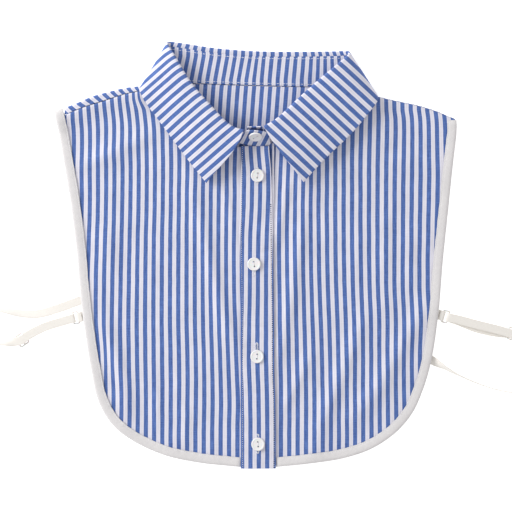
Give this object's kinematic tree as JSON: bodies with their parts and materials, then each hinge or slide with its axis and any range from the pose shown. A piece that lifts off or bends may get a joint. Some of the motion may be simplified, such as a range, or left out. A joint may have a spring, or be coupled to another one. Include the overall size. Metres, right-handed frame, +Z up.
{
  "type": "detachable shirt-front collar",
  "caption": "Buttoned shirt-front collar of striped cotton with a turned-down collar, bound edges and elastic side straps, lying flat.",
  "frame": {"origin": "middle of the footprint, on the surface that the collar lies on", "axes": "+Z up from the surface, +Y from the hem towards the collar, +X across the front to the right of someone looking down on it"},
  "size_m": [0.5621, 0.3686, 0.0242],
  "materials": {
    "striped_cotton": "plain-woven cotton shirting, even blue and white stripes, matte",
    "binding_cotton": "white cotton bias binding, matte",
    "button_resin": "white resin, softly polished",
    "elastic_tape": "ivory woven elastic, matte with a slight sheen",
    "hardware_plastic": "moulded off-white plastic, semi-gloss"
  },
  "bodies": {
    "root": {"back_panel": "striped_cotton", "front_panel_left": "striped_cotton", "front_panel_right": "striped_cotton", "button_placket": "striped_cotton", "under_placket": "striped_cotton", "collar_stand": "striped_cotton", "collar_leaf": "striped_cotton", "binding_front_left": "binding_cotton", "binding_front_right": "binding_cotton", "binding_back": "binding_cotton", "button_1": "button_resin", "button_2": "button_resin", "button_3": "button_resin", "button_4": "button_resin", "button_collar": "button_resin", "strap_left": "elastic_tape", "strap_right": "elastic_tape", "strap_tab_left": "elastic_tape", "strap_tab_right": "elastic_tape", "strap_ring_left": "hardware_plastic", "strap_ring_right": "hardware_plastic", "strap_slider_left": "hardware_plastic", "strap_slider_right": "hardware_plastic"}
  },
  "joints": []
}
